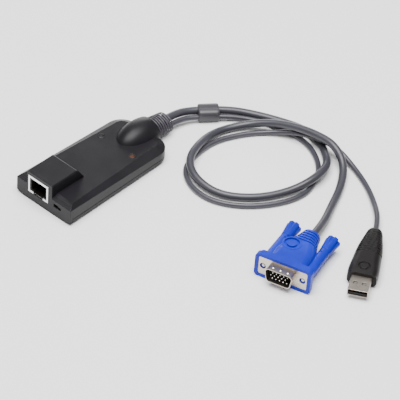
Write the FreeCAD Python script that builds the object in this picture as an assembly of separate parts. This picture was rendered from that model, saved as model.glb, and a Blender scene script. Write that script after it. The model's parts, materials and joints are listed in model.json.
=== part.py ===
import FreeCAD, Part
import math
import os
from FreeCAD import Vector, Placement, Rotation

# A KVM adapter dongle: a small plastic case with a network jack at its front
# end, and two cords that leave its rear end through one moulded strain relief
# and finish in a 15-pin video plug and a USB plug.
#
# Frame: millimetres, +X from the jack end to the cord end, +Y to the left when
# looking along +X, +Z up. The origin is at the bottom centre of the case.

# ---------------------------------------------------------------- case sizes
CASE_LENGTH = 92.4          # jack face to the mouth where the strain relief starts
CASE_WIDTH = 44.0
CASE_TAPER = 1.0            # how much each side comes in by the rear corners
TAIL_GAP = 3.9              # rear wall of the body, ahead of the mouth
TAIL_BOW = 1.2              # outward bow of the rear wall
CORNER_RADIUS = 11.0        # rear corners seen from above
WALL = 1.8
FLOOR = 1.8
CHAMFER_WIDTH = 4.0         # bottom long edges
CHAMFER_HEIGHT = 1.65
PANEL_HEIGHT = 11.5         # front end plate beside the jack tower
PANEL_THICK = 2.0
DECK_START = 4.5            # the deck's front edge, behind the end plate's face
DECK_FRONT = 13.5           # deck height at its front edge
DECK_DROP = 0.026           # fall of the deck per mm toward the rear
SHOULDER_FRONT = 11.3       # top of the side walls at the front
SHOULDER_DROP = 0.033       # fall of the side walls' top per mm
BEVEL_FRONT = 2.5           # deck edge inset from the side wall, front and rear
BEVEL_REAR = 5.3
PARTING = 4.2               # height of the seam between lower case and cover
SEAM = 0.4                  # width and depth of the groove along the seam
LIP = 1.2                   # height of the tongue inside the seam
TONGUE_OUTER = 1.0          # the tongue's faces, in from the outside
TONGUE_INNER = 1.7
FIT = 0.1                   # clearance between pieces that drop into each other
EDGE = 0.5                  # small outer edge chamfers

# -------------------------------------------------------- jack tower and jack
TOWER_OVER_RIGHT = 11.3     # the tower's sides, out from the middle of the jack
TOWER_OVER_LEFT = 9.1
TOWER_TOP = 21.0
TOWER_LENGTH = 20.7         # level top, from the face
TOWER_RAMP = 5.8            # run of the sloped back, down to the deck
TOWER_WALL = 1.0
JACK_MARGIN = 17.5          # middle of the jack, in from the +y side
JACK_WIDTH = 16.0
JACK_HEIGHT = 12.2
JACK_DEPTH = 18.6
JACK_BORDER = 2.0           # bright frame round the socket
JACK_SHEET = 0.5
LATCH_WIDTH = 6.4
LATCH_FLOOR = 0.8           # bottom of the latch notch above the jack's underside
SOCKET_DEPTH = 14.0
CONTACT_COUNT = 8
CONTACT_PITCH = 1.02
CONTACT_WIRE = 0.4
CONTACT_DROP = 2.4

# --------------------------------------------------------------- board inside
BOARD_TOP = 6.1
BOARD_THICK = 1.6
BOARD_MARGIN = 3.6          # from the case's side to the board's edge
BOARD_LENGTH = 75.1
POST_RADIUS = 2.6
# screw posts: distance behind the face, and from the case's side (negative: right side)
POST_PLACES = [(9.7, -6.4), (9.7, 5.8), (70.2, -7.0), (70.2, 7.0)]
SCREW_RADIUS = 1.1
SCREW_HEAD_RADIUS = 2.2
SCREW_HEAD_HEIGHT = 1.3
SCREW_LENGTH = 8.0
THREAD_CLEARANCE = 0.02
CHIP_SIDE = 14.0
CHIP_THICK = 1.4
SMALL_CHIP_SIDE = 9.0
CHIP_PLACE = (40.2, 2.0)    # behind the face, and sideways
SMALL_CHIP_PLACE = (60.2, 0.0)
CRYSTAL_SIZE = (11.0, 4.6, 3.6)
CRYSTAL_PLACE = (38.2, 9.5)    # from the face, and in from the -y side
HEADER_LENGTH = 5.0
HEADER_HEIGHT = 3.4
HEADER_WALL = 0.8

# ------------------------------------------------------ slide switch and lamps
SWITCH_SHARE = 0.5091       # middle of the switch, as a share of the half width
SWITCH_Z = 7.9
SLOT_WIDTH = 5.8
SLOT_HEIGHT = 2.2
SWITCH_TRAVEL = 2.0
KNOB_WIDTH = 2.4
KNOB_HEIGHT = 1.7
KNOB_RECESS = 0.7
SWITCH_BODY = (3.6, 8.6, 3.6)
LAMP_PLACE = 60.8           # behind the face
LAMP_MARGIN = 9.3           # from the case's side
LAMP_RADIUS = 1.45
LAMP_RECESS = 0.25
LAMP_COLLAR = 0.8

# ------------------------------------------------------- boss and strain relief
CORD_AXIS = 8.0             # height of the strain relief's axis
BOSS_HALF_LENGTH = 18.2     # the boss is an egg: half its length and its radius
BOSS_RADIUS = 10.4
BOSS_BACK = 12.2            # from the boss's middle to the mouth
SPIGOT_LENGTH = 3.6         # round end of the boss that the strain relief slips over
SPIGOT_RADIUS = 6.4
RELIEF_LENGTH = 14.1
# strain relief: width, height and middle height at its root and at its end
RELIEF_ROOT = (15.8, 15.2, 7.7)
RELIEF_TIP = (14.2, 12.7, 6.4)
RELIEF_NECK_RADIUS = 5.4
RELIEF_FLANGE_RADIUS = 6.2
RELIEF_FLANGE_THICK = 2.2
RELIEF_RINGS = 7
RELIEF_GROOVE = 0.85
RELIEF_GROOVE_DEPTH = 0.8
RELIEF_BRIDGE = 1.8         # width of the webs left standing across the grooves
MOUTH_WALL = 2.0

# --------------------------------------------------------------------- cords
VIDEO_CORD_DIAMETER = 4.8
USB_CORD_DIAMETER = 3.3
VIDEO_EXIT = (0.8, 7.6)     # sideways and height where each cord leaves the strain relief
USB_EXIT = (-3.0, 5.2)
VIDEO_INLET = (0.5, 9.6)    # the same where its lead enters the case
USB_INLET = (-2.5, 6.7)
CORD_SEAT = 1.0             # a tube starts this far inside, then is trimmed flush

# The routes are chosen points; the tube rounds each one with an arc.
VIDEO_ROUTE = [
    (66.0, 0.8, 6.9), (77.3, -2.2, 4.8), (94.9, -17.1, 4.2), (104.5, -29.5, 2.5),
    (111.0, -44.5, 2.5), (116.0, -60.5, 2.5), (113.5, -75.0, 2.5), (106.5, -85.5, 3.4),
    (96.5, -95.0, 6.6), (81.0, -97.5, 6.6), (65.5, -92.0, 2.9), (47.5, -82.0, 2.5),
    (34.0, -65.0, 2.5), (33.0, -47.0, 4.5), (40.5, -34.0, 6.3), (55.0, -28.0, 6.3),
    (74.0, -24.0, 2.5), (91.0, -31.0, 2.8), (101.5, -44.5, 7.0), (107.0, -61.0, 10.2),
    (109.5, -78.0, 11.4), (109.0, -90.0, 11.2), (105.5, -100.5, 5.2), (91.0, -110.5, 2.5),
    (73.0, -118.2, 2.6), (57.0, -126.0, 4.8)]
USB_ROUTE = [
    (65.0, -3.4, 5.0), (74.5, -6.8, 3.8), (91.0, -20.7, 3.3), (100.0, -30.5, 1.7),
    (105.5, -42.5, 1.7), (108.5, -57.0, 1.7), (107.5, -70.5, 1.7), (102.0, -82.0, 1.7),
    (94.5, -90.5, 1.7), (84.0, -96.5, 1.7), (70.0, -99.3, 1.7), (54.0, -94.0, 1.7),
    (37.5, -81.5, 1.7), (27.5, -65.0, 1.7), (28.0, -48.0, 1.7), (37.0, -34.0, 1.7),
    (50.5, -30.0, 1.7), (69.0, -29.0, 1.7), (87.0, -37.0, 1.7), (99.5, -47.0, 1.9),
    (106.5, -60.0, 5.6), (111.0, -74.0, 7.0), (113.0, -88.0, 6.6), (111.5, -102.0, 2.2),
    (104.5, -119.0, 1.7), (94.5, -133.5, 3.0), (83.0, -146.1, 5.0)]
COLLAR = (83.7, -10.7, 0.0, -40.6, 0.0)
COLLAR_SIZE = (10.6, 10.6, 9.0)
COLLAR_EDGE = 2.4
COLLAR_STEP = 0.5

# ----------------------------------------------------------------- video plug
VIDEO_PLUG = (5.4, -140.1, 8.3, 15.3, 2.5)   # x, y, z, turn and lean of its face
PLATE_WIDTH = 30.8
PLATE_HEIGHT = 12.5
PLATE_THICK = 0.8
PLATE_RECESS = 0.4
SCREW_SPACING = 24.99
D_WIDTH = 17.7
D_HEIGHT = 9.1
D_LENGTH = 5.9
D_SHEET = 0.4
D_SLANT = 1.45              # how much narrower each side is at the bottom
D_CORNER = 2.4
PIN_RADIUS = 0.4
PIN_PITCH = 2.29
ROW_PITCH = 1.98
PIN_REACH = 5.0
PIN_TAIL = 7.0
CORE_LENGTH = 5.0
FLANGE_WIDTH = 35.4
FLANGE_HEIGHT = 16.0
FLANGE_THICK = 3.0
FLANGE_CORNER = 2.6
STEP_INSET = 0.8
STEP_THICK = 2.2
# hood sections: distance behind the face, width, height, corner radius
HOOD_SECTIONS = [(4.7, 24.0, 13.0, 3.4), (12.0, 23.0, 13.6, 4.4), (20.0, 21.6, 13.4, 5.2),
                 (25.0, 18.6, 12.8, 5.8), (30.0, 15.0, 12.0, 5.7), (38.0, 11.2, 10.2, 4.9)]
HOOD_END = 38.0
HOOD_RINGS = 5
HOOD_RING_START = 25.6
HOOD_RING_PITCH = 2.4
HOOD_RING_GROOVE = 0.9
HOOD_RING_DEPTH = 0.8
SLEEVE_RADIUS = 3.6
SLEEVE_END_RADIUS = 3.3
SLEEVE_END = 29.0
WEB_END = 14.0              # end of the webs between the hood and its sleeves
WEB_HALF = 1.5
DIMPLE_PLACE = (19.5, 4.2)  # round pad on the hood, and its ring groove
DIMPLE_PAD_RADIUS = 5.8
DIMPLE_RADIUS = 4.6
DIMPLE_INNER = 3.0
DIMPLE_RISE = 0.25
DIMPLE_DEPTH = 0.8
THUMB_SHAFT_RADIUS = 1.45
THUMB_BORE = 1.5
THUMB_TIP = 0.7
THUMB_GAP = 0.3
THUMB_KNOB_RADIUS = 3.3     # at its sleeve end
THUMB_KNOB_FLARE = 4.6      # at its far end
THUMB_KNOB_LENGTH = 11.7
THUMB_FLUTES = 6
THUMB_FLUTE_RADIUS = 1.15
THUMB_FLUTE_REACH = 4.75

# ------------------------------------------------------------------- USB plug
USB_PLUG = (26.1, -178.7, 5.1, 29.5, 0.0)
USB_WIDTH = 12.0
USB_HEIGHT = 4.5
USB_SHEET = 0.3
USB_EXPOSED = 12.3
USB_LENGTH = 18.7
USB_WINDOW = 2.3
USB_WINDOW_X = 6.4
USB_WINDOW_SPACING = 5.0
TONGUE_THICK = 1.9
TONGUE_SETBACK = 0.5
USB_CONTACT_LENGTH = 7.4
USB_CONTACT_SPOTS = [-3.5, -1.0, 1.0, 3.5]
BOOT_LENGTH = 42.0
# boot sections: distance behind the shell's mouth, width, height, corner radius
BOOT_SECTIONS = [(12.3, 17.2, 9.2, 3.2), (15.3, 17.7, 9.7, 3.8), (26.0, 17.0, 9.9, 4.4),
                 (34.0, 15.8, 9.7, 4.5), (42.0, 13.6, 9.2, 4.3), (49.0, 10.8, 8.4, 4.0),
                 (52.6, 9.2, 7.6, 3.6), (54.3, 7.4, 6.4, 3.0)]
BOOT_RIBS = 11
BOOT_RIB_PITCH = 2.0
BOOT_RIB_START = 31.5
BOOT_RIB_GROOVE = 0.7
BOOT_RIB_DEPTH = 0.45
BOOT_RING_PLACE = 18.6
BOOT_RING_RADIUS = 3.5
BOOT_RING_INNER = 2.4
BOOT_RING_DEPTH = 0.5

# ------------------------------------------------------------- derived places
FACE = -CASE_LENGTH / 2
MOUTH = CASE_LENGTH / 2
TAIL = MOUTH - TAIL_GAP - TAIL_BOW
BOARD_HALF_WIDTH = CASE_WIDTH / 2 - BOARD_MARGIN
JACK_Y = CASE_WIDTH / 2 - JACK_MARGIN
TOWER_RIGHT = JACK_Y - TOWER_OVER_RIGHT
TOWER_LEFT = JACK_Y + TOWER_OVER_LEFT
BOARD_END = FACE + PANEL_THICK + FIT + BOARD_LENGTH
POST_SPOTS = [(FACE + back, math.copysign(CASE_WIDTH / 2 - abs(margin), margin))
              for back, margin in POST_PLACES]
SWITCH_Y = -SWITCH_SHARE * CASE_WIDTH / 2
LAMP_X = FACE + LAMP_PLACE
LAMP_Y = CASE_WIDTH / 2 - LAMP_MARGIN
BOSS_CENTRE = MOUTH - BOSS_BACK
COVER_END = MOUTH - SPIGOT_LENGTH
MOUTH_INSIDE = COVER_END - MOUTH_WALL
JACK_FLOOR = BOARD_TOP
JACK_TOP = BOARD_TOP + JACK_HEIGHT
SOCKET_TOP = JACK_TOP - JACK_BORDER
SOCKET_FLOOR = JACK_FLOOR + JACK_BORDER
SOCKET_HALF = JACK_WIDTH / 2 - JACK_BORDER
RELIEF_START = COVER_END + FIT / 2
RELIEF_END = RELIEF_START + RELIEF_LENGTH


# ---------------------------------------------------------------- small tools
def block(x0, x1, y0, y1, z0, z1):
    """A box between two corners."""
    return Part.makeBox(x1 - x0, y1 - y0, z1 - z0, Vector(x0, y0, z0))


def rod(x0, x1, y, z, radius):
    """A round bar along X."""
    return Part.makeCylinder(radius, x1 - x0, Vector(x0, y, z), Vector(1, 0, 0))


def post(x, y, z0, z1, radius):
    """A round bar along Z."""
    return Part.makeCylinder(radius, z1 - z0, Vector(x, y, z0), Vector(0, 0, 1))


def prism_xz(points, y0, y1):
    """An outline in the XZ plane, drawn out along Y."""
    corners = [Vector(x, y0, z) for x, z in points]
    face = Part.Face(Part.makePolygon(corners + corners[:1]))
    return face.extrude(Vector(0, y1 - y0, 0))


def rounded_wire(x, width, height, radius, centre_y=0.0, centre_z=0.0):
    """A rounded rectangle across X, as four lines and four arcs."""
    half_w, half_h = width / 2, height / 2
    diagonal = radius * math.sqrt(0.5)
    edges = []
    for side_y, side_z, turn in ((1, 1, 0), (-1, 1, 1), (-1, -1, 0), (1, -1, 1)):
        cy = centre_y + side_y * (half_w - radius)
        cz = centre_z + side_z * (half_h - radius)
        out_y = Vector(x, cy + side_y * radius, cz)
        out_z = Vector(x, cy, cz + side_z * radius)
        middle = Vector(x, cy + side_y * diagonal, cz + side_z * diagonal)
        start, end = (out_z, out_y) if turn else (out_y, out_z)
        edges.append((start, middle, end))
    parts = []
    for index, (start, middle, end) in enumerate(edges):
        parts.append(Part.Arc(start, middle, end).toShape())
        following = edges[(index + 1) % len(edges)][0]
        parts.append(Part.LineSegment(end, following).toShape())
    return Part.Wire(parts)


def rounded_bar(x0, x1, width, height, radius, centre_y=0.0, centre_z=0.0):
    """A bar of rounded rectangular section along X."""
    wire = rounded_wire(x0, width, height, radius, centre_y, centre_z)
    return Part.Face(wire).extrude(Vector(x1 - x0, 0, 0))


def lying(place):
    """A plug's placement: its spot, its turn on the table and its lean toward the cord."""
    x, y, z, turn, lean = place
    return Placement(Vector(x, y, z),
                     Rotation(Vector(0, 0, 1), turn).multiply(Rotation(Vector(0, 1, 0), lean)))


def in_place(shape, place):
    """Move a plug from its own frame to where it lies."""
    moved = shape.copy()
    moved.Placement = lying(place)
    return moved


def spot_in_place(x, y, z, place):
    """The place of one point of a plug's own frame."""
    return lying(place).multVec(Vector(x, y, z))


# ------------------------------------------------------------------- the case
def deck_height(x):
    return DECK_FRONT - DECK_DROP * (x - FACE - DECK_START)


def shoulder_height(x):
    return SHOULDER_FRONT - SHOULDER_DROP * (x - FACE)


def case_outline(height, front_inset, rear_inset, front=None):
    """The case seen from above, as a closed wire that lies at height(x)."""
    start = FACE if front is None else front
    half_front = CASE_WIDTH / 2 - front_inset
    centre_x = TAIL - CORNER_RADIUS
    centre_y = CASE_WIDTH / 2 - CASE_TAPER - CORNER_RADIUS
    radius = CORNER_RADIUS - rear_inset
    slant = radius * math.sqrt(0.5)

    def at(x, y):
        return Vector(x, y, height(x))

    corners = {}
    for side in (1, -1):
        corners[side] = [at(start, side * half_front),
                         at(centre_x, side * (centre_y + radius)),
                         at(centre_x + slant, side * (centre_y + slant)),
                         at(centre_x + radius, side * centre_y)]
    left, right = corners[1], corners[-1]
    edges = [Part.LineSegment(left[0], left[1]),
             Part.Arc(left[1], left[2], left[3]),
             Part.Arc(left[3], at(centre_x + radius + TAIL_BOW, 0.0), right[3]),
             Part.Arc(right[3], right[2], right[1]),
             Part.LineSegment(right[1], right[0]),
             Part.LineSegment(right[0], left[0])]
    return Part.Wire([edge.toShape() for edge in edges])


def outline_slab(z0, z1, inset, front=None):
    """A flat slab of the case's outline, inset all round."""
    wire = case_outline(lambda x: z0, inset, inset, front)
    return Part.Face(wire).extrude(Vector(0, 0, z1 - z0))


def body_solid(inset, floor, lower, front=None):
    """The body without tower and boss. inset, floor and lower give the inside."""
    chamfer = lambda x: max(CHAMFER_HEIGHT, floor + 0.2)
    wires = [case_outline(lambda x: floor, CHAMFER_WIDTH + inset * 0.4,
                          CHAMFER_WIDTH + inset * 0.4, front),
             case_outline(chamfer, inset, inset, front),
             case_outline(lambda x: shoulder_height(x) - lower * 0.6, inset, inset, front),
             case_outline(lambda x: deck_height(x) - lower,
                          BEVEL_FRONT + inset, BEVEL_REAR + inset * 0.4, front)]
    return Part.makeLoft(wires, True, True)


def egg(trim, start, end):
    """The boss: part of an egg round the strain relief's axis, trimmed inward."""
    arc = Part.ArcOfEllipse(Part.Ellipse(Vector(BOSS_CENTRE, 0, CORD_AXIS),
                                         BOSS_HALF_LENGTH - trim, BOSS_RADIUS - trim),
                            0, math.pi).toShape()
    arc.rotate(Vector(BOSS_CENTRE, 0, CORD_AXIS), Vector(1, 0, 0), 90)
    first = Vector(BOSS_CENTRE - BOSS_HALF_LENGTH + trim, 0, CORD_AXIS)
    last = Vector(BOSS_CENTRE + BOSS_HALF_LENGTH - trim, 0, CORD_AXIS)
    face = Part.Face(Part.Wire([arc, Part.LineSegment(first, last).toShape()]))
    solid = face.revolve(Vector(0, 0, CORD_AXIS), Vector(1, 0, 0), 360)
    reach = BOSS_RADIUS + 1
    return solid.common(block(start, end, -reach, reach, 0, CORD_AXIS + reach))


def tower_solid(inset, front):
    """The raised housing over the jack, with its sloped back."""
    top = TOWER_TOP - inset
    back = FACE + TOWER_LENGTH - inset * 0.4
    low = DECK_FRONT - 5.0
    ramp_foot = back + TOWER_RAMP
    foot = deck_height(ramp_foot) - inset
    profile = [(front, low), (front, top), (back, top), (ramp_foot, foot), (ramp_foot, low)]
    side = TOWER_WALL if inset else 0.0
    return prism_xz(profile, TOWER_RIGHT + inset, TOWER_LEFT - side)


def outer_form():
    """The whole outside of the case as one solid."""
    body = body_solid(0.0, 0.0, 0.0)
    nose = prism_xz([(FACE - 1, PANEL_HEIGHT), (FACE, PANEL_HEIGHT),
                     (FACE + DECK_START, DECK_FRONT), (FACE + DECK_START, TOWER_TOP),
                     (FACE - 1, TOWER_TOP)], -CASE_WIDTH, CASE_WIDTH)
    tower = tower_solid(0.0, FACE)
    top_edges = [edge for edge in tower.Edges
                 if min(v.Point.z for v in edge.Vertexes) > TOWER_TOP - 0.1
                 and max(v.Point.x for v in edge.Vertexes) > FACE + 0.1]
    tower = tower.makeChamfer(EDGE, top_edges)
    boss = egg(0.0, BOSS_CENTRE - BOSS_HALF_LENGTH, COVER_END)
    spigot = rod(COVER_END - 1, MOUTH, 0, CORD_AXIS, SPIGOT_RADIUS)
    return body.cut(nose).fuse(tower).fuse([boss, spigot])


def inner_form():
    """The hollow inside the case, behind the end plate."""
    start = FACE + PANEL_THICK
    body = body_solid(WALL, FLOOR, WALL, start)
    nose = prism_xz([(FACE - 1, PANEL_HEIGHT - WALL), (FACE + PANEL_THICK, PANEL_HEIGHT - WALL),
                     (FACE + DECK_START + WALL, DECK_FRONT - WALL),
                     (FACE + DECK_START + WALL, TOWER_TOP), (FACE - 1, TOWER_TOP)],
                    -CASE_WIDTH, CASE_WIDTH)
    hollow = body.cut(nose).fuse(tower_solid(WALL, start))
    boss = egg(WALL, BOSS_CENTRE - BOSS_HALF_LENGTH, MOUTH_INSIDE)
    boss = boss.common(block(FACE, MOUTH, -CASE_WIDTH, CASE_WIDTH, FLOOR, TOWER_TOP))
    return hollow.fuse(boss)


def case_shell():
    """The hollow case behind the end plate, before it is split at the seam."""
    shell = outer_form().cut(inner_form())
    shell = shell.cut(block(FACE - 1, FACE + PANEL_THICK, -CASE_WIDTH, CASE_WIDTH, -1, TOWER_TOP + 1))
    return shell.cut(rod(MOUTH_INSIDE - 1, MOUTH + 1, 0, CORD_AXIS, RELIEF_NECK_RADIUS + FIT))


def seam_tongue(grow):
    """The tongue of the lower case; grow gives the wider channel in the cover."""
    start = FACE + PANEL_THICK + WALL
    outer = outline_slab(PARTING - LIP / 2, PARTING + LIP + grow, TONGUE_OUTER - grow, start)
    inner = outline_slab(PARTING - LIP, PARTING + LIP + 1, TONGUE_INNER + 5 * grow, start - 1)
    ring = outer.cut(inner)
    clear = RELIEF_FLANGE_RADIUS + 2
    return ring.cut(block(TAIL - CORNER_RADIUS, MOUTH, -clear, clear, PARTING - LIP, PARTING + LIP + 1))


def lower_case(shell):
    """The tray, with its screw standoffs and the groove along the seam."""
    tray = shell.common(block(FACE, MOUTH, -CASE_WIDTH, CASE_WIDTH, -1, PARTING))
    tray = tray.fuse(seam_tongue(0.0))
    board_bottom = BOARD_TOP - BOARD_THICK
    for x, y in POST_SPOTS:
        tray = tray.fuse(post(x, y, FLOOR - 0.5, board_bottom, POST_RADIUS + 0.6))
    for x, y in POST_SPOTS:
        tray = tray.cut(post(x, y, -1, board_bottom + 1, SCREW_RADIUS + 0.3))
        sink = Part.makeCone(SCREW_HEAD_RADIUS + FIT, SCREW_RADIUS + 0.3, SCREW_HEAD_HEIGHT,
                             Vector(x, y, 0.3), Vector(0, 0, 1))
        tray = tray.cut(sink).cut(post(x, y, -1, 0.3, SCREW_HEAD_RADIUS + FIT))
    rim = outline_slab(PARTING - SEAM, PARTING + 1, -1.0)
    rim = rim.cut(outline_slab(PARTING - SEAM - 1, PARTING + 2, SEAM))
    return tray.cut(rim)


def upper_cover(shell):
    """The cover, with its screw posts and lamp holes."""
    cover = shell.common(block(FACE, MOUTH, -CASE_WIDTH, CASE_WIDTH, PARTING, TOWER_TOP + 1))
    cover = cover.cut(seam_tongue(FIT))
    for x, y in POST_SPOTS:
        cover = cover.fuse(post(x, y, BOARD_TOP, deck_height(x) - WALL / 2, POST_RADIUS))
    for x, y in POST_SPOTS:
        cover = cover.cut(post(x, y, BOARD_TOP - 1, SCREW_LENGTH + 0.6, SCREW_RADIUS + THREAD_CLEARANCE))
    for side in (-1, 1):
        hole = post(LAMP_X, side * LAMP_Y, PARTING, DECK_FRONT + 1, LAMP_RADIUS + FIT)
        cover = cover.cut(hole)
    return cover


def front_panel():
    """The end plate, drawn up into a portal round the jack."""
    plate = outer_form().common(block(FACE, FACE + PANEL_THICK, -CASE_WIDTH, CASE_WIDTH, -1, TOWER_TOP + 1))
    opening = block(FACE - 1, FACE + PANEL_THICK + 1,
                    JACK_Y - JACK_WIDTH / 2 - FIT, JACK_Y + JACK_WIDTH / 2 + FIT,
                    JACK_FLOOR - FIT, JACK_TOP + FIT)
    slot = block(FACE - 1, FACE + PANEL_THICK + 1,
                 SWITCH_Y - SLOT_WIDTH / 2, SWITCH_Y + SLOT_WIDTH / 2,
                 SWITCH_Z - SLOT_HEIGHT / 2, SWITCH_Z + SLOT_HEIGHT / 2)
    return plate.cut(opening).cut(slot)


# ------------------------------------------------------------------- the jack
def jack_shield():
    """The bright metal can of the jack, with its frame and latch notch."""
    left, right = JACK_Y + JACK_WIDTH / 2, JACK_Y - JACK_WIDTH / 2
    can = block(FACE, FACE + JACK_DEPTH, right, left, JACK_FLOOR, JACK_TOP)
    inside = block(FACE + JACK_SHEET, FACE + JACK_DEPTH + 1, right + JACK_SHEET, left - JACK_SHEET,
                   JACK_FLOOR + JACK_SHEET, JACK_TOP - JACK_SHEET)
    socket = block(FACE - 1, FACE + 1, JACK_Y - SOCKET_HALF, JACK_Y + SOCKET_HALF,
                   SOCKET_FLOOR, SOCKET_TOP)
    notch = block(FACE - 1, FACE + JACK_SHEET + FIT, JACK_Y - LATCH_WIDTH / 2, JACK_Y + LATCH_WIDTH / 2,
                  JACK_FLOOR + LATCH_FLOOR, SOCKET_FLOOR + FIT)
    return can.cut(inside).cut(socket).cut(notch)


def jack_insulator():
    """The black moulding inside the can, with the socket and latch channel."""
    front = FACE + JACK_SHEET
    left = JACK_Y + JACK_WIDTH / 2 - JACK_SHEET
    right = JACK_Y - JACK_WIDTH / 2 + JACK_SHEET
    body = block(front, FACE + JACK_DEPTH, right, left,
                 JACK_FLOOR + JACK_SHEET, JACK_TOP - JACK_SHEET)
    socket = block(front - 1, front + SOCKET_DEPTH, JACK_Y - SOCKET_HALF + FIT, JACK_Y + SOCKET_HALF - FIT,
                   SOCKET_FLOOR + FIT, SOCKET_TOP - FIT)
    channel = block(front - 1, front + SOCKET_DEPTH * 0.6, JACK_Y - LATCH_WIDTH / 2 + FIT,
                    JACK_Y + LATCH_WIDTH / 2 - FIT, JACK_FLOOR + LATCH_FLOOR + FIT, SOCKET_FLOOR + 1)
    return body.cut(socket).cut(channel)


def jack_contacts():
    """Eight spring wires that slant down into the socket."""
    top = SOCKET_TOP - FIT
    start = FACE + 3.0
    back = FACE + JACK_SHEET + SOCKET_DEPTH
    wires = []
    for index in range(CONTACT_COUNT):
        y = JACK_Y + (index - (CONTACT_COUNT - 1) / 2) * CONTACT_PITCH
        profile = [(start, top - CONTACT_WIRE), (start, top), (start + CONTACT_WIRE, top),
                   (back, top - CONTACT_DROP + CONTACT_WIRE), (back, top - CONTACT_DROP)]
        wires.append(prism_xz(profile, y - CONTACT_WIRE / 2, y + CONTACT_WIRE / 2))
    return Part.Compound(wires)


# --------------------------------------------------------- board and its parts
def circuit_board():
    """The board on which the jack, chips, headers and switch sit."""
    start = FACE + PANEL_THICK + FIT
    board = block(start, BOARD_END, -BOARD_HALF_WIDTH, BOARD_HALF_WIDTH, BOARD_TOP - BOARD_THICK, BOARD_TOP)
    for x, y in POST_SPOTS:
        board = board.cut(post(x, y, 0, TOWER_TOP, SCREW_RADIUS + 0.3))
    return board


def flat_chip(place, side, thick, leads):
    """A flat chip with rows of gull-wing leads on its four sides."""
    x, y = FACE + place[0], place[1]
    half = side / 2
    chip = block(x - half, x + half, y - half, y + half, BOARD_TOP + 0.1, BOARD_TOP + thick)
    pitch = (side - 2.0) / (leads - 1)
    for index in range(leads):
        offset = -half + 1.0 + index * pitch
        for sign in (-1, 1):
            near, far = sorted((sign * (half - 0.2), sign * (half + 1.0)))
            chip = chip.fuse([block(x + near, x + far, y + offset - 0.15, y + offset + 0.15,
                                    BOARD_TOP, BOARD_TOP + 0.4),
                              block(x + offset - 0.15, x + offset + 0.15, y + near, y + far,
                                    BOARD_TOP, BOARD_TOP + 0.4)])
    return chip


def crystal_can():
    """The clock crystal's metal can."""
    length, width, height = CRYSTAL_SIZE
    x, y = FACE + CRYSTAL_PLACE[0], CRYSTAL_PLACE[1] - CASE_WIDTH / 2
    can = rounded_bar(x, x + length, width, width, width / 2 - 0.05, y, BOARD_TOP + width / 2)
    return can.common(block(x, x + length, y - width, y + width, BOARD_TOP, BOARD_TOP + height))


def header_block(y, width):
    """A connector on the board where a cord's leads end."""
    x0 = BOARD_END - HEADER_LENGTH
    top = BOARD_TOP + HEADER_HEIGHT
    half = width / 2
    body = block(x0, BOARD_END, y - half, y + half, BOARD_TOP, top)
    return body.cut(block(x0 + HEADER_WALL, BOARD_END - HEADER_WALL, y - half + HEADER_WALL,
                          y + half - HEADER_WALL, top - HEADER_WALL, top + 1))


def inner_lead(inlet, diameter):
    """The end of a cord inside the case, from the strain relief to its header."""
    y, z = inlet
    flange = MOUTH_INSIDE - RELIEF_FLANGE_THICK - FIT
    return rod(BOARD_END, flange, y, z, diameter / 2 - 0.1)


def switch_body():
    """The slide switch's case, open at the front for its knob."""
    depth, width, height = SWITCH_BODY
    x0 = FACE + PANEL_THICK + FIT
    body = block(x0, x0 + depth, SWITCH_Y - width / 2, SWITCH_Y + width / 2, BOARD_TOP, BOARD_TOP + height)
    half = (KNOB_WIDTH + SWITCH_TRAVEL) / 2 + 0.3
    pocket = block(x0 - 1, x0 + depth - 0.8, SWITCH_Y - half, SWITCH_Y + half,
                   SWITCH_Z - KNOB_HEIGHT / 2 - 0.15, SWITCH_Z + KNOB_HEIGHT / 2 + 0.15)
    return body.cut(pocket)


def switch_knob():
    """The knob in its first position; it slides toward +Y."""
    y0 = SWITCH_Y - (KNOB_WIDTH + SWITCH_TRAVEL) / 2
    x0 = FACE + KNOB_RECESS
    back = FACE + PANEL_THICK + FIT + SWITCH_BODY[0] - 1.0
    knob = block(x0, back, y0, y0 + KNOB_WIDTH, SWITCH_Z - KNOB_HEIGHT / 2, SWITCH_Z + KNOB_HEIGHT / 2)
    ridge = KNOB_WIDTH / 5
    for index in (1, 3):
        y = y0 + index * ridge
        knob = knob.cut(block(x0 - 1, x0 + 0.35, y, y + ridge, 0, TOWER_TOP))
    return knob


def lamp_lens(side):
    """A light pipe from the board's lamp up to the deck."""
    y = side * LAMP_Y
    top = deck_height(LAMP_X) - LAMP_RECESS
    under = deck_height(LAMP_X) - WALL - 0.2
    pipe = post(LAMP_X, y, BOARD_TOP + 0.8, top, LAMP_RADIUS)
    return pipe.fuse(post(LAMP_X, y, under - LAMP_COLLAR, under, LAMP_RADIUS + 0.7))


def status_lamps():
    """The two small lamps on the board, under their lenses."""
    return Part.Compound([block(LAMP_X - 1.0, LAMP_X + 1.0, side * LAMP_Y - 0.6, side * LAMP_Y + 0.6,
                                BOARD_TOP, BOARD_TOP + 0.7) for side in (-1, 1)])


def case_screws():
    """The countersunk screws that hold the case together."""
    screws = []
    for x, y in POST_SPOTS:
        head = Part.makeCone(SCREW_HEAD_RADIUS, SCREW_RADIUS, SCREW_HEAD_HEIGHT,
                             Vector(x, y, 0.3), Vector(0, 0, 1))
        shaft = post(x, y, 0.3 + SCREW_HEAD_HEIGHT - 0.01, SCREW_LENGTH + 0.3, SCREW_RADIUS)
        cross = block(x - 1.3, x + 1.3, y - 0.25, y + 0.25, 0, 1.0).fuse(
            block(x - 0.25, x + 0.25, y - 1.3, y + 1.3, 0, 1.0))
        screws.append(head.fuse(shaft).cut(cross))
    return Part.Compound(screws)


# -------------------------------------------------------- strain relief, cords
def between(first, last, share):
    """Numbers part of the way from one row of sizes to another."""
    return [a + (b - a) * share for a, b in zip(first, last)]


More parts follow.
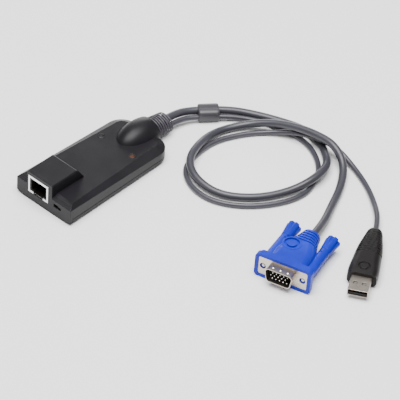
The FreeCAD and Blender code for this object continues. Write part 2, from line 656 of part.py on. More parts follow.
def relief_wire(share, trim=0.0):
    """The strain relief's oval section part of the way along it."""
    width, height, middle = between(RELIEF_ROOT, RELIEF_TIP, share)
    width, height = width - 2 * trim, height - 2 * trim
    x = RELIEF_START + share * RELIEF_LENGTH
    return rounded_wire(x, width, height, height / 2 - 0.3, 0.0, middle)


def strain_relief():
    """The ribbed moulding round both cords, held by a flange inside the case."""
    relief = Part.makeLoft([relief_wire(0.0), relief_wire(1.0)], True, True)
    relief = relief.cut(rod(RELIEF_START - 1, MOUTH + FIT, 0, CORD_AXIS, SPIGOT_RADIUS + FIT))
    flange_back = MOUTH_INSIDE - FIT
    neck = rod(flange_back - 0.1, MOUTH + 1.0, 0, CORD_AXIS, RELIEF_NECK_RADIUS)
    flange = rod(flange_back - RELIEF_FLANGE_THICK, flange_back, 0, CORD_AXIS, RELIEF_FLANGE_RADIUS)
    relief = relief.fuse([neck, flange])
    relief = relief.cut(block(flange_back - RELIEF_FLANGE_THICK - 1, flange_back + 0.05,
                              -CASE_WIDTH, CASE_WIDTH, 0, FLOOR + FIT))
    pitch = (RELIEF_LENGTH - 1.6) / RELIEF_RINGS
    for index in range(RELIEF_RINGS):
        x = RELIEF_START + 0.9 + index * pitch
        share = (x - RELIEF_START) / RELIEF_LENGTH
        inside = Part.Face(relief_wire(share, RELIEF_GROOVE_DEPTH)).extrude(Vector(RELIEF_GROOVE, 0, 0))
        ring = rod(x, x + RELIEF_GROOVE, 0, CORD_AXIS, CASE_WIDTH / 2).cut(inside)
        bridge = block(x - 1, x + 2, -RELIEF_BRIDGE / 2, RELIEF_BRIDGE / 2, -CASE_WIDTH, CASE_WIDTH)
        if index % 2:
            bridge.rotate(Vector(x, 0, CORD_AXIS), Vector(1, 0, 0), 90)
        relief = relief.cut(ring.cut(bridge))
    return relief


def cord_path(points):
    """Straight runs joined by the largest tangent arcs that they allow."""
    spots = [Vector(*point) for point in points]
    edges, radii = [], []
    last = spots[0]
    for before, corner, after in zip(spots, spots[1:], spots[2:]):
        arrive, leave = corner - before, after - corner
        turn = arrive.getAngle(leave)
        back = 0.45 * min(arrive.Length, leave.Length)
        radius = back / math.tan(turn / 2)
        arrive.normalize()
        leave.normalize()
        start, end = corner - arrive * back, corner + leave * back
        inward = leave - arrive
        inward.normalize()
        middle = corner + inward * (radius / math.cos(turn / 2) - radius)
        edges.append(Part.LineSegment(last, start).toShape())
        edges.append(Part.Arc(start, middle, end).toShape())
        radii.append(radius)
        last = end
    edges.append(Part.LineSegment(last, spots[-1]).toShape())
    return Part.Wire(edges), radii


def cord(name, points, diameter):
    """A cord's tube along its route."""
    path, radii = cord_path(points)
    start, following = Vector(*points[0]), Vector(*points[1])
    circle = Part.makeCircle(diameter / 2, start, following - start)
    tube = path.makePipe(Part.Face(Part.Wire([circle])))
    expected = math.pi * diameter * diameter / 4 * path.Length
    print(name, "length", round(path.Length, 1), "volume share", round(tube.Volume / expected, 4),
          "radii", [round(radius, 1) for radius in radii])
    return tube


def video_cord_points():
    end = spot_in_place(HOOD_END - CORD_SEAT, 0, 0, VIDEO_PLUG)
    return [(RELIEF_END - CORD_SEAT, *VIDEO_EXIT)] + VIDEO_ROUTE + [tuple(end)]


def usb_cord_points():
    end = spot_in_place(USB_EXPOSED + BOOT_LENGTH - CORD_SEAT, 0, 0, USB_PLUG)
    return [(RELIEF_END - CORD_SEAT, *USB_EXIT)] + USB_ROUTE + [tuple(end)]


def cable_collar(video_cord, usb_cord):
    """The clip that holds the two cords side by side."""
    length, width, height = COLLAR_SIZE
    body = rounded_bar(-length / 2, length / 2, width, height, COLLAR_EDGE, 0.0, height / 2)
    step = rounded_bar(0, length / 2, width, height, COLLAR_EDGE, 0.0, height / 2).cut(
        rounded_bar(0, length / 2, width - COLLAR_STEP, height - COLLAR_STEP, COLLAR_EDGE, 0.0,
                    (height - COLLAR_STEP) / 2))
    body = body.cut(step)
    body = in_place(body, COLLAR)
    return body.cut(video_cord).cut(usb_cord)


# ----------------------------------------------------------------- video plug
def d_wire(x, trim):
    """The D outline of the plug's shell, wider at the top."""
    half_w, half_h = D_WIDTH / 2 - trim, D_HEIGHT / 2 - trim
    corners = [Vector(x, half_w, half_h), Vector(x, -half_w, half_h),
               Vector(x, -half_w + D_SLANT, -half_h), Vector(x, half_w - D_SLANT, -half_h)]
    return Part.makePolygon(corners + corners[:1])


def d_bar(x0, x1, trim):
    """A bar of D section with rounded corners."""
    bar = Part.Face(d_wire(x0, trim)).extrude(Vector(x1 - x0, 0, 0))
    along = [edge for edge in bar.Edges
             if abs(edge.Vertexes[0].Point.x - edge.Vertexes[1].Point.x) > 0.1]
    return bar.makeFillet(D_CORNER - trim, along)


def thumb_sides():
    return (-SCREW_SPACING / 2, SCREW_SPACING / 2)


def video_face_plate():
    """The plated face with its D shell, bumps and screw holes."""
    plate = rounded_bar(0, PLATE_THICK, PLATE_WIDTH, PLATE_HEIGHT, 1.2)
    shell = d_bar(-D_LENGTH, PLATE_THICK, 0.0)
    for y in (-4.6, 0.0, 4.6):
        for side in (-1, 1):
            bump = Part.makeSphere(1.4, Vector(-D_LENGTH * 0.55, y, side * (D_HEIGHT / 2 - 1.05)))
            shell = shell.fuse(bump)
    face = plate.fuse(shell).cut(d_bar(-D_LENGTH - 1, PLATE_THICK + 1, D_SHEET))
    for y in thumb_sides():
        face = face.cut(rod(-1, PLATE_THICK + 1, y, 0, THUMB_BORE + 0.45))
    return face


def pin_places():
    """Three rows of five pins; the middle row sits half a pitch across."""
    for row in (-1, 0, 1):
        shift = -PIN_PITCH / 4 if row else PIN_PITCH / 4
        for column in range(5):
            yield (column - 2) * PIN_PITCH + shift, row * ROW_PITCH


def video_insulator():
    """The black core that carries the pins."""
    core = d_bar(-0.8, CORE_LENGTH, D_SHEET + FIT / 2)
    for y, z in pin_places():
        core = core.cut(rod(-2, CORE_LENGTH + 1, y, z, PIN_RADIUS))
    return core


def video_pins():
    return Part.Compound([rod(-PIN_REACH, PIN_TAIL, y, z, PIN_RADIUS) for y, z in pin_places()])


def size_at(sections, x):
    """Width, height and corner radius of a lofted form at one of its stations."""
    for first, last in zip(sections, sections[1:]):
        if x <= last[0]:
            return between(first[1:], last[1:], (x - first[0]) / (last[0] - first[0]))
    return sections[-1][1:]


def ring_groove(sections, x, width, depth):
    """A shallow groove that follows a lofted form's section round at x."""
    wide, high, radius = size_at(sections, x + width / 2)
    outer = rounded_bar(x, x + width, wide + 6, high + 6, radius)
    return outer.cut(rounded_bar(x, x + width, wide - 2 * depth, high - 2 * depth, radius - depth))


def video_hood():
    """The moulded hood: flange, screw sleeves, round pad and ribbed end."""
    body_start = FLANGE_THICK + STEP_THICK
    flange = rounded_bar(-PLATE_RECESS, FLANGE_THICK, FLANGE_WIDTH, FLANGE_HEIGHT, FLANGE_CORNER)
    step = rounded_bar(FLANGE_THICK, body_start, FLANGE_WIDTH - 2 * STEP_INSET,
                       FLANGE_HEIGHT - 2 * STEP_INSET, FLANGE_CORNER)
    body = Part.makeLoft([rounded_wire(*section) for section in HOOD_SECTIONS], True, False)
    top = size_at(HOOD_SECTIONS, DIMPLE_PLACE[0])[1] / 2
    pad = post(*DIMPLE_PLACE, 0, top + DIMPLE_RISE, DIMPLE_PAD_RADIUS)
    hood = flange.fuse([step, body, pad])
    for y in thumb_sides():
        sleeve = Part.makeCone(SLEEVE_RADIUS, SLEEVE_END_RADIUS, SLEEVE_END - body_start + 0.5,
                               Vector(body_start - 0.5, y, 0), Vector(1, 0, 0))
        inner = math.copysign(abs(y) - SLEEVE_RADIUS, y)
        web = block(body_start - 0.5, WEB_END, min(y, inner), max(y, inner), -WEB_HALF, WEB_HALF)
        hood = hood.fuse([sleeve, web])
    groove = post(*DIMPLE_PLACE, top - DIMPLE_DEPTH, top + 2, DIMPLE_RADIUS)
    hood = hood.cut(groove.cut(post(*DIMPLE_PLACE, top - DIMPLE_DEPTH, top + 2, DIMPLE_INNER)))
    for index in range(HOOD_RINGS):
        hood = hood.cut(ring_groove(HOOD_SECTIONS, HOOD_RING_START + index * HOOD_RING_PITCH,
                                    HOOD_RING_GROOVE, HOOD_RING_DEPTH))
    hood = hood.cut(rounded_bar(-1, PLATE_THICK, PLATE_WIDTH, PLATE_HEIGHT, 1.2))
    hood = hood.cut(d_bar(0, CORE_LENGTH, D_SHEET + FIT / 2))
    hood = hood.cut(block(CORE_LENGTH - 0.1, PIN_TAIL, -5.6, 5.6, -2.6, 2.6))
    for y in thumb_sides():
        hood = hood.cut(rod(-1, SLEEVE_END + 1, y, 0, THUMB_BORE))
        hood = hood.cut(rod(SLEEVE_END, HOOD_END, y, 0, THUMB_KNOB_FLARE + 0.3))
    return hood


def thumb_knob(y):
    """A finger knob that flares and is fluted toward its end."""
    x0 = SLEEVE_END + THUMB_GAP
    x1 = x0 + THUMB_KNOB_LENGTH
    knob = Part.makeCone(THUMB_KNOB_RADIUS, THUMB_KNOB_FLARE, THUMB_KNOB_LENGTH, Vector(x0, y, 0),
                         Vector(1, 0, 0))
    ends = [edge for edge in knob.Edges if edge.Curve.TypeId == 'Part::GeomCircle']
    knob = knob.makeChamfer(0.4, ends)
    for index in range(THUMB_FLUTES):
        angle = 2 * math.pi * (index + 0.5) / THUMB_FLUTES
        knob = knob.cut(rod(x0 + 1.2, x1 + 1, y + THUMB_FLUTE_REACH * math.cos(angle),
                            THUMB_FLUTE_REACH * math.sin(angle), THUMB_FLUTE_RADIUS))
    return knob.cut(rod(x0 - 1, x1 - 2.0, y, 0, THUMB_SHAFT_RADIUS))


def thumb_screw(y):
    """The steel screw; its tip shows in the face plate's hole."""
    return rod(THUMB_TIP, SLEEVE_END + THUMB_GAP + THUMB_KNOB_LENGTH - 2.0, y, 0, THUMB_SHAFT_RADIUS)


# ------------------------------------------------------------------- USB plug
def usb_shell():
    """The folded metal shell with its square windows."""
    shell = rounded_bar(0, USB_LENGTH, USB_WIDTH, USB_HEIGHT, 0.5)
    inside = rounded_bar(-1, USB_LENGTH - 0.5, USB_WIDTH - 2 * USB_SHEET, USB_HEIGHT - 2 * USB_SHEET, 0.3)
    shell = shell.cut(inside)
    half = USB_WINDOW / 2
    for side in (-1, 1):
        y = side * USB_WINDOW_SPACING / 2
        shell = shell.cut(block(USB_WINDOW_X - half, USB_WINDOW_X + half, y - half, y + half,
                                -USB_HEIGHT, USB_HEIGHT))
    return shell


def usb_tongue():
    """The plastic tongue in the lower half of the shell."""
    floor = -USB_HEIGHT / 2 + USB_SHEET
    half = USB_WIDTH / 2 - USB_SHEET - 0.15
    tongue = block(TONGUE_SETBACK, USB_LENGTH - 0.6, -half, half, floor + FIT, floor + TONGUE_THICK)
    rear = block(USB_EXPOSED, USB_LENGTH - 0.6, -half, half, floor + TONGUE_THICK - 0.1,
                 USB_HEIGHT / 2 - USB_SHEET - 0.05)
    return tongue.fuse(rear)


def usb_contacts():
    """Four flat contacts on the tongue."""
    top = -USB_HEIGHT / 2 + USB_SHEET + TONGUE_THICK
    return Part.Compound([block(1.4, 1.4 + USB_CONTACT_LENGTH, y - 0.5, y + 0.5, top, top + 0.15)
                          for y in USB_CONTACT_SPOTS])


def usb_boot():
    """The bullet-shaped boot, ribbed toward the cord."""
    boot = Part.makeLoft([rounded_wire(*section) for section in BOOT_SECTIONS], True, False)
    boot = boot.cut([ring_groove(BOOT_SECTIONS, BOOT_RIB_START + index * BOOT_RIB_PITCH,
                                 BOOT_RIB_GROOVE, BOOT_RIB_DEPTH) for index in range(BOOT_RIBS)])
    boot = boot.cut(rounded_bar(USB_EXPOSED - 1, USB_LENGTH, USB_WIDTH, USB_HEIGHT, 0.5))
    top = size_at(BOOT_SECTIONS, BOOT_RING_PLACE)[1] / 2
    floor = top - BOOT_RING_DEPTH
    ring = post(BOOT_RING_PLACE, 0, floor, top + 1, BOOT_RING_RADIUS)
    return boot.cut(ring.cut(post(BOOT_RING_PLACE, 0, floor, top + 1, BOOT_RING_INNER)))


# ------------------------------------------------------------------ everything
def nodes():
    """Every piece of the product by name."""
    shell = case_shell()
    yield "lower_case", lower_case(shell)
    yield "upper_cover", upper_cover(shell)
    yield "front_panel", front_panel()
    yield "jack_shield", jack_shield()
    yield "jack_insulator", jack_insulator()
    yield "jack_contacts", jack_contacts()
    yield "circuit_board", circuit_board()
    yield "controller_chip", flat_chip(CHIP_PLACE, CHIP_SIDE, CHIP_THICK, 16)
    yield "video_chip", flat_chip(SMALL_CHIP_PLACE, SMALL_CHIP_SIDE, CHIP_THICK, 8)
    yield "clock_crystal", crystal_can()
    yield "video_header", header_block(5.0, 9.0)
    yield "usb_header", header_block(-5.5, 6.0)
    yield "video_inner_lead", inner_lead(VIDEO_INLET, VIDEO_CORD_DIAMETER)
    yield "usb_inner_lead", inner_lead(USB_INLET, USB_CORD_DIAMETER)
    yield "switch_body", switch_body()
    yield "switch_knob", switch_knob()
    yield "online_lens", lamp_lens(1)
    yield "power_lens", lamp_lens(-1)
    yield "status_lamps", status_lamps()
    yield "case_screws", case_screws()
    relief = strain_relief()
    yield "strain_relief", relief
    hood = in_place(video_hood(), VIDEO_PLUG)
    boot = in_place(usb_boot(), USB_PLUG)
    yield "video_hood", hood
    yield "usb_boot", boot
    video_cord = cord("video cord", video_cord_points(), VIDEO_CORD_DIAMETER).cut([relief, hood])
    usb_cord = cord("usb cord", usb_cord_points(), USB_CORD_DIAMETER).cut([relief, boot])
    yield "video_cable", video_cord
    yield "usb_cable", usb_cord
    yield "cable_collar", cable_collar(video_cord, usb_cord)
    left, right = thumb_sides()
    video_pieces = {"video_face_plate": video_face_plate(), "video_insulator": video_insulator(),
                    "video_pins": video_pins(),
                    "left_thumb_knob": thumb_knob(left), "left_thumb_screw": thumb_screw(left),
                    "right_thumb_knob": thumb_knob(right), "right_thumb_screw": thumb_screw(right)}
    for name, shape in video_pieces.items():
        yield name, in_place(shape, VIDEO_PLUG)
    usb_pieces = {"usb_shell": usb_shell(), "usb_tongue": usb_tongue(),
                  "usb_contacts": usb_contacts()}
    for name, shape in usb_pieces.items():
        yield name, in_place(shape, USB_PLUG)


def main():
    os.makedirs("parts", exist_ok=True)
    for name, shape in nodes():
        solids = len(shape.Solids)
        box = shape.BoundBox
        print(name, "solids", solids, "valid", shape.isValid(), "volume", round(shape.Volume, 1),
              "x", round(box.XMin, 2), round(box.XMax, 2), "y", round(box.YMin, 2), round(box.YMax, 2),
              "z", round(box.ZMin, 2), round(box.ZMax, 2))
        shape.exportStep("parts/" + name + ".step")


main()
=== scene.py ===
import json
import math
import bmesh
import bpy
from mathutils import Matrix, Vector

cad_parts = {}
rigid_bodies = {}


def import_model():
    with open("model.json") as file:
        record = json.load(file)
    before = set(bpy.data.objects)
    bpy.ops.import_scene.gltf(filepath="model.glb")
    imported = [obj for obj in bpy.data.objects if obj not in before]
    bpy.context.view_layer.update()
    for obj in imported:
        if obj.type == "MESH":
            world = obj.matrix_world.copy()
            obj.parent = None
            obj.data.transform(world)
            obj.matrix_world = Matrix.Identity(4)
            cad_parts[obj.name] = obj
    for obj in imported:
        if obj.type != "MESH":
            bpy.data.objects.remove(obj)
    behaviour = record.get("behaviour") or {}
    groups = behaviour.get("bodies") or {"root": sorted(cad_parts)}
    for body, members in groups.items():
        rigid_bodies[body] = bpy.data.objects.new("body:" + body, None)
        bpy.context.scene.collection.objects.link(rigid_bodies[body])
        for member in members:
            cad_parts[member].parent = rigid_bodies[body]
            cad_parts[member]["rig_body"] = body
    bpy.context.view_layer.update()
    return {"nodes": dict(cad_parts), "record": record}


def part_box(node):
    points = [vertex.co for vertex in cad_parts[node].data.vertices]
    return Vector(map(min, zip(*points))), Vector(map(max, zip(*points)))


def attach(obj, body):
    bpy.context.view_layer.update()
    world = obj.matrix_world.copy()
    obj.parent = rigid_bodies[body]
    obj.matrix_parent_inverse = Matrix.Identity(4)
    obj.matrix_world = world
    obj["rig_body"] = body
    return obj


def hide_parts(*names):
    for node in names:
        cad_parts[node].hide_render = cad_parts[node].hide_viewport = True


# A KVM adapter dongle: a dark case with a network jack in a raised tower, and two
# cords that leave one ribbed strain relief and end in a video plug and a USB plug.
# Everything is in metres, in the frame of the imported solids.

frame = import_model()
nodes = frame["nodes"]
MM = 0.001


# ------------------------------------------------------------------ small tools
def link(name, mesh, body="adapter"):
    """Put a mesh or curve in the scene as a piece that rides on a body."""
    piece = bpy.data.objects.new(name, mesh)
    bpy.context.scene.collection.objects.link(piece)
    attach(piece, body)
    return piece


def body_of(node):
    return nodes[node]["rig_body"]


# ------------------------------------------------------------------- finishes
class Field:
    """A node's socket that can stand in arithmetic."""

    def __init__(self, maker, socket):
        self.maker = maker
        self.socket = socket

    def math(self, operation, first, second):
        return self.maker.node("ShaderNodeMath", {"operation": operation}, {0: first, 1: second})

    def __add__(self, other):
        return self.math("ADD", self, other)

    __radd__ = __add__

    def __sub__(self, other):
        return self.math("SUBTRACT", self, other)

    def __rsub__(self, other):
        return self.math("SUBTRACT", other, self)

    def __mul__(self, other):
        return self.math("MULTIPLY", self, other)

    __rmul__ = __mul__

    def __truediv__(self, other):
        return self.math("DIVIDE", self, other)


class NodeMaker:
    """A node tree, with a single method that makes its nodes."""

    def __init__(self, tree):
        self.tree = tree
        self.tree.nodes.clear()

    def node(self, kind, settings=None, inputs=None, output=0):
        """Make a node, apply its settings, then fill its sockets with values or links."""
        made = self.tree.nodes.new(kind)
        for key, value in (settings or {}).items():
            if key == "stops":
                ramp = made.color_ramp.elements
                while len(ramp) < len(value):
                    ramp.new(0.5)
                for element, (place, colour) in zip(ramp, value):
                    element.position = place
                    element.color = colour
            else:
                setattr(made, key, value)
        for key, value in (inputs or {}).items():
            socket = made.inputs[key]
            for item in value if isinstance(value, list) else [value]:
                if isinstance(item, Field):
                    self.tree.links.new(item.socket, socket)
                else:
                    socket.default_value = item
        return Field(self, made.outputs[output]) if made.outputs else None


class Finish(NodeMaker):
    """One material."""

    def __init__(self, name):
        self.material = bpy.data.materials.new(name)
        self.material.use_nodes = True
        super().__init__(self.material.node_tree)

    def place(self):
        """Object coordinates, in metres."""
        return self.node("ShaderNodeTexCoord", output="Object")

    def noise(self, scale, detail=3.0, roughness=0.5):
        return self.node("ShaderNodeTexNoise", None,
                         {"Vector": self.place(), "Scale": scale, "Detail": detail,
                          "Roughness": roughness})

    def ramp(self, value, stops):
        return self.node("ShaderNodeValToRGB", {"stops": stops}, {"Fac": value})

    def mix(self, amount, first, second):
        return self.node("ShaderNodeMix", {"data_type": "RGBA"},
                         {0: amount, 6: first, 7: second}, output=2)

    def bump(self, height, distance):
        return self.node("ShaderNodeBump", None,
                         {"Height": height, "Distance": distance, "Strength": 1.0})

    def surface(self, **sockets):
        """The shader itself, closed off to the material's output."""
        inputs = {key.replace("_", " "): value for key, value in sockets.items()}
        shader = self.node("ShaderNodeBsdfPrincipled", None, inputs)
        self.node("ShaderNodeOutputMaterial", None, {"Surface": shader})
        return self.material


def grey(level, warm=0.0):
    """A grey, a little warmer where asked."""
    return (level * (1 + warm), level, level * (1 - warm), 1.0)


def moulded_plastic(name, dark, light, roughness, grain, depth, specular):
    """Moulded plastic: fine spark texture, faint cloudy tone, uneven gloss."""
    finish = Finish(name)
    cloud = finish.noise(60.0, 3.0)
    spark = finish.noise(grain, 2.0, 0.6)
    colour = finish.mix(finish.ramp(cloud, [(0.35, grey(0)), (0.65, grey(1))]), dark, light)
    gloss = roughness + (spark - 0.5) * 0.12 + (cloud - 0.5) * 0.10
    return finish.surface(Base_Color=colour, Roughness=gloss, Specular_IOR_Level=specular,
                          Normal=finish.bump(spark, depth))


def plated_metal(name, dark, light, roughness):
    """Plated sheet metal: fine marks and small gloss changes."""
    finish = Finish(name)
    marks = finish.noise(900.0, 3.0, 0.6)
    cloud = finish.noise(180.0, 2.0)
    colour = finish.mix(cloud, dark, light)
    return finish.surface(Base_Color=colour, Metallic=1.0,
                          Roughness=roughness + (marks - 0.5) * 0.16,
                          Normal=finish.bump(marks, 0.000012))


def cord_sheath(name, dark, light):
    """Soft sheath: satin, with a slight orange-peel and dusty patches."""
    finish = Finish(name)
    cloud = finish.noise(45.0, 4.0)
    peel = finish.noise(1400.0, 2.0)
    colour = finish.mix(finish.ramp(cloud, [(0.3, grey(0)), (0.7, grey(1))]), dark, light)
    return finish.surface(Base_Color=colour, Roughness=0.36 + (cloud - 0.5) * 0.2,
                          Normal=finish.bump(peel, 0.00002))


def circuit_green(name):
    """Solder mask with darker bare board between faint copper tracks."""
    finish = Finish(name)
    weave = finish.node("ShaderNodeTexVoronoi", {"feature": "DISTANCE_TO_EDGE"},
                        {"Vector": finish.place(), "Scale": 260.0})
    tracks = finish.ramp(weave, [(0.05, (0.04, 0.19, 0.07, 1)), (0.09, (0.015, 0.09, 0.035, 1))])
    return finish.surface(Base_Color=tracks, Roughness=0.35, Normal=finish.bump(weave, 0.00003))


def mount_frame(name):
    """The frame of a plug or socket: +X away from its mouth, +Y level, origin at its mouth."""
    mount = next(item for item in frame["record"]["mounts"] if item["name"] == name)
    back = -Vector(mount["axis"]).normalized()
    side = Vector((0, 0, 1)).cross(back).normalized()
    turn = Matrix((back, side, back.cross(side))).transposed().to_4x4()
    return Matrix.Translation(Vector(mount["pos_m"])) @ turn


PIN_SHADE_FADE = 5.0 * MM         # painted shade in the pins' cavity fades out along this length; the ramp's stops are shares of it


def pin_metal_painted_shade(name, shank, tip):
    """Plated pins, dark with painted shade down in their cavity and bright at the tip."""
    finish = Finish(name)
    plug = mount_frame("video_plug")
    way = plug.col[0].xyz
    along = finish.node("ShaderNodeVectorMath", {"operation": "DOT_PRODUCT"},
                        {0: finish.place(), 1: way}, output="Value")
    reach = (plug.translation.dot(way) - along) / PIN_SHADE_FADE
    # painted shade: deeper in the plug the pins turn to the dark shank colour, where the cavity is
    # in shade
    bright = finish.ramp(reach, [(0.89, grey(0)), (0.95, grey(1))])
    return finish.surface(Base_Color=finish.mix(bright, shank, tip), Metallic=1.0,
                          Roughness=0.24 + finish.noise(2400.0, 2.0) * 0.08)


def light_pipe(name, colour, deep):
    """Tinted clear resin, darker in its depth."""
    finish = Finish(name)
    cloud = finish.noise(700.0, 2.0)
    return finish.surface(Base_Color=finish.mix(cloud, colour, deep),
                          Roughness=0.12 + cloud * 0.1, Coat_Weight=0.6)


# darker tone, lighter tone, roughness, scale and depth of the grain, specular level
PLASTICS = {
    "housing_dark": ((0.0058, 0.0050, 0.0068, 1), (0.0088, 0.0078, 0.0100, 1),
                     0.42, 5200.0, 0.000010, 0.22),
    "moulding_black": ((0.0040, 0.0030, 0.0026, 1), (0.0080, 0.0060, 0.0050, 1),
                       0.42, 4000.0, 0.00002, 0.2),
    "chip_black": (grey(0.010), grey(0.016), 0.55, 5000.0, 0.00002, 0.5),
    "header_white": (grey(0.55, 0.04), grey(0.68, 0.04), 0.5, 3000.0, 0.00002, 0.5),
    "switch_black": (grey(0.004), grey(0.008), 0.4, 4000.0, 0.00002, 0.5),
    "relief_grey": ((0.040, 0.036, 0.045, 1), (0.058, 0.053, 0.065, 1),
                    0.42, 3600.0, 0.00002, 0.5),
    "collar_grey": ((0.036, 0.034, 0.040, 1), (0.048, 0.045, 0.052, 1),
                    0.42, 3600.0, 0.00002, 0.5),
    "hood_blue": ((0.0022, 0.0130, 0.34, 1), (0.0034, 0.0170, 0.42, 1),
                  0.40, 3600.0, 0.000015, 0.22),
    "boot_black": ((0.0044, 0.0034, 0.0034, 1), (0.0070, 0.0056, 0.0056, 1),
                   0.44, 3600.0, 0.00002, 0.22),
}
# darker tone, lighter tone, roughness
METALS = {
    "shield_bright": (grey(0.80), grey(0.92), 0.30),
    "contact_gold": ((0.66, 0.56, 0.40, 1), (0.86, 0.78, 0.62, 1), 0.25),
    "crystal_can": (grey(0.5), grey(0.66), 0.28),
    "screw_steel": (grey(0.42), grey(0.60), 0.3),
    "plated_nickel": ((0.46, 0.40, 0.35, 1), (0.62, 0.56, 0.50, 1), 0.30),
}
# tone at the surface and in the depth
RESINS = {
    "lens_clear": (grey(0.020), grey(0.008)),
    "lens_amber": ((0.10, 0.030, 0.008, 1), (0.012, 0.005, 0.003, 1)),
    "lamp_body": ((0.62, 0.56, 0.40, 1), (0.5, 0.45, 0.3, 1)),
}
FINISHES = {
    "board_green": circuit_green("board_green"),
    "cord_slate": cord_sheath("cord_slate", (0.030, 0.029, 0.038, 1), (0.044, 0.042, 0.053, 1)),
    # the first colour is painted shade for the pins deep in their cavity, the second their bright
    # tips
    "pin_plating": pin_metal_painted_shade("pin_plating", (0.05, 0.042, 0.035, 1), (0.95, 0.93, 0.90, 1)),
}
for make, looks in ((moulded_plastic, PLASTICS), (plated_metal, METALS), (light_pipe, RESINS)):
    for name, look in looks.items():
        FINISHES[name] = make(name, *look)
NODE_SLOT = {part["node"]: part["material_slot"] for part in frame["record"]["subparts"]}
for node, slot in NODE_SLOT.items():
    nodes[node].data.materials.clear()
    nodes[node].data.materials.append(FINISHES[slot])


# ------------------------------------------------------- rounded copies of solids
JACK_LOW, JACK_HIGH = (Vector(corner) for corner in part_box("jack_shield"))
JACK_MIDDLE = (JACK_LOW.y + JACK_HIGH.y) / 2
FRAME_SIDE = 1.2 * MM       # bright frame round the jack's opening
FRAME_TOP = 1.5 * MM
FRAME_FOOT = 1.3 * MM
FRAME_CUT = 0.6 * MM        # depth of the cuts, just through the frame's sheet
NOTCH_HALF = 3.9 * MM       # latch notch, open through the frame's foot
NOTCH_TOP = 2.2 * MM
CHANNEL_HALF = 3.7 * MM     # channel behind the notch, in the insulator
CHANNEL_FOOT = 0.9 * MM
CHANNEL_TOP = 2.6 * MM
CHANNEL_CUT = 8.0 * MM


def jack_box(depth, half_width, foot, top):
    """Two corners of a box sunk into the middle of the jack's front, heights from its foot."""
    return ((JACK_LOW.x - MM, JACK_MIDDLE - half_width, JACK_LOW.z + foot),
            (JACK_LOW.x + depth, JACK_MIDDLE + half_width, JACK_LOW.z + top))


CUTS = {
    "jack_shield": [
        jack_box(FRAME_CUT, NOTCH_HALF, -MM, NOTCH_TOP),
        jack_box(FRAME_CUT, (JACK_HIGH.y - JACK_LOW.y) / 2 - FRAME_SIDE, FRAME_FOOT,
                 JACK_HIGH.z - JACK_LOW.z - FRAME_TOP)],
    "jack_insulator": [jack_box(CHANNEL_CUT, CHANNEL_HALF, CHANNEL_FOOT, CHANNEL_TOP)]}


def cut_copy(mesh, low, high):
    """The mesh with a box taken out of it."""
    tool = bmesh.new()
    bmesh.ops.create_cube(tool, size=1.0)
    for corner in tool.verts:
        corner.co = Vector(low[axis] if corner.co[axis] < 0 else high[axis] for axis in range(3))
    block = bpy.data.meshes.new("cutter")
    tool.to_mesh(block)
    tool.free()
    cutter = bpy.data.objects.new("cutter", block)
    holder = bpy.data.objects.new("cut", mesh)
    for item in (cutter, holder):
        bpy.context.scene.collection.objects.link(item)
    cut = holder.modifiers.new("cut", "BOOLEAN")
    cut.operation = "DIFFERENCE"
    cut.solver = "EXACT"
    cut.object = cutter
    ready = holder.evaluated_get(bpy.context.evaluated_depsgraph_get())
    result = bpy.data.meshes.new_from_object(ready)
    bpy.data.objects.remove(holder)
    bpy.data.objects.remove(cutter)
    return result


def shade(mesh, crease):
    """Smooth shading, with creases kept where faces meet at more than an angle in degrees."""
    mesh.polygons.foreach_set("use_smooth", [True] * len(mesh.polygons))
    mesh.set_sharp_from_angle(angle=math.radians(crease))


SOLID_CREASE = 34.0         # degrees: sharper edges of the solids are rounded


def softened(node, width):
    """A copy of a solid with its sharp edges rounded by a width in mm, which stands for it."""
    work = bmesh.new()
    work.from_mesh(nodes[node].data)
    bmesh.ops.remove_doubles(work, verts=work.verts, dist=0.002 * MM)
    bmesh.ops.dissolve_limit(work, angle_limit=math.radians(0.6), verts=work.verts,
                             edges=work.edges)
    mesh = bpy.data.meshes.new(node + "_form")
    work.to_mesh(mesh)
    work.free()
    for low, high in CUTS.get(node, []):
        mesh = cut_copy(mesh, low, high)
    shade(mesh, SOLID_CREASE)
    mesh.materials.clear()
    mesh.materials.append(FINISHES[NODE_SLOT[node]])
    piece = link(node + "_form", mesh, body_of(node))
    edge = piece.modifiers.new("rounding", "BEVEL")
    edge.width = width * MM
    edge.segments = 3
    edge.limit_method = "ANGLE"
    edge.angle_limit = math.radians(SOLID_CREASE)
    edge.use_clamp_overlap = True
    shading = piece.modifiers.new("shading", "WEIGHTED_NORMAL")
    shading.mode = "FACE_AREA"
    shading.keep_sharp = True
    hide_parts(node)
    return piece


